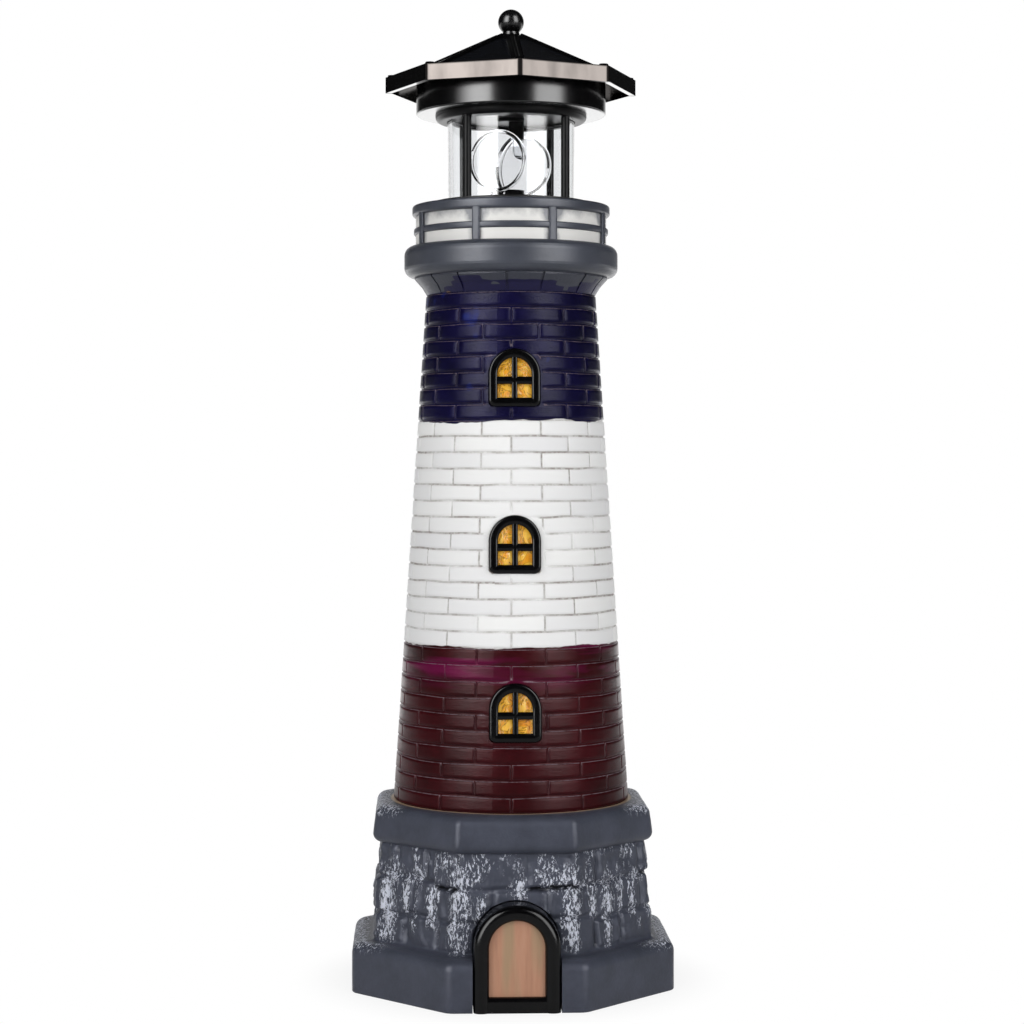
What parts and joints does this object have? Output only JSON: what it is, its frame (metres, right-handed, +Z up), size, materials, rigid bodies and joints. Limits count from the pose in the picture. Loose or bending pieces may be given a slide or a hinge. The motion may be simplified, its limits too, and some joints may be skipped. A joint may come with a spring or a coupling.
{
  "type": "garden lighthouse ornament",
  "caption": "Solar garden lighthouse: brick tower on an octagonal plinth, railed gallery, glazed lamp head with turning lenses round an LED, octagonal roof.",
  "frame": {"origin": "on the ground at the middle of the plinth", "axes": "+Z up the tower, the door and windows face -Y, +X to the right of the door"},
  "size_m": [0.1186, 0.1196, 0.365],
  "materials": {
    "grey_stone": "painted cast stone, satin, dry-brushed",
    "brick_paint": "cast stone brickwork painted dark red, white and navy in three bands",
    "white_stone": "painted cast stone, matt",
    "black_gloss": "glossy black paint",
    "black_satin": "satin black moulding",
    "door_tan": "tan paint, streaked",
    "amber": "amber, mottled",
    "clear": "clear, polished",
    "led_clear": "clear LED body",
    "steel": "bright steel",
    "gear_nylon": "natural nylon",
    "wire_sleeve": "wire sleeve",
    "cell_wrap": "shrink sleeve, plain green",
    "board_green": "circuit board",
    "solar_glass": "dark solar cell under clear resin"
  },
  "bodies": {
    "tower": {"plinth": "grey_stone", "door_frame": "black_gloss", "door_panel": "door_tan", "tower_shell": "brick_paint", "window_frame_lower": "black_gloss", "window_frame_middle": "black_gloss", "window_frame_upper": "black_gloss", "window_pane_lower": "amber", "window_pane_middle": "amber", "window_pane_upper": "amber", "corbel_ring": "grey_stone", "gallery_deck": "grey_stone", "parapet_wall": "white_stone", "gallery_railing": "grey_stone"},
    "lamp_head": {"lamp_base": "black_satin", "lamp_base_cover": "black_satin", "cover_screws": "steel", "motor_case": "steel", "motor_wires": "wire_sleeve", "glass_chimney": "clear", "lantern_posts": "black_satin", "chimney_collar": "black_gloss", "led_holder": "black_satin", "led": "led_clear", "drum_housing": "black_gloss", "battery_holder": "black_satin", "rechargeable_cell": "cell_wrap", "battery_contacts": "steel", "circuit_board": "board_green", "switch_case": "steel", "roof_cap": "black_gloss", "ball_finial": "black_gloss", "solar_cell_1": "solar_glass", "solar_cell_2": "solar_glass", "solar_cell_3": "solar_glass", "solar_cell_4": "solar_glass", "solar_cell_5": "solar_glass", "solar_cell_6": "solar_glass", "solar_cell_7": "solar_glass", "solar_cell_8": "solar_glass"},
    "beacon": {"turntable": "black_satin", "lens_front": "clear", "lens_rear": "clear", "spindle": "steel", "drive_gear": "gear_nylon"},
    "pinion": {"motor_shaft": "steel", "motor_pinion": "gear_nylon"},
    "power_switch": {"switch_knob": "black_satin"}
  },
  "joints": [
    {"name": "head_lift", "type": "slide", "parent": "tower", "child": "lamp_head", "axis": [0, 0, 1], "range_m": [0, 0.03]},
    {"name": "beacon_spin", "type": "hinge", "parent": "lamp_head", "child": "beacon", "pos_m": [0, 0, 0.2925], "axis": [0, 0, 1], "continuous": true},
    {"name": "pinion_spin", "type": "hinge", "parent": "lamp_head", "child": "pinion", "pos_m": [0.01794, 0.00252, 0.2868], "axis": [0, 0, 1], "continuous": true},
    {"name": "switch_slide", "type": "slide", "parent": "lamp_head", "child": "power_switch", "axis": [1, 0, 0], "range_m": [0, 0.0025]}
  ],
  "couplings": [
    {"joint": "pinion_spin", "follows": "beacon_spin", "ratio": -4}
  ]
}
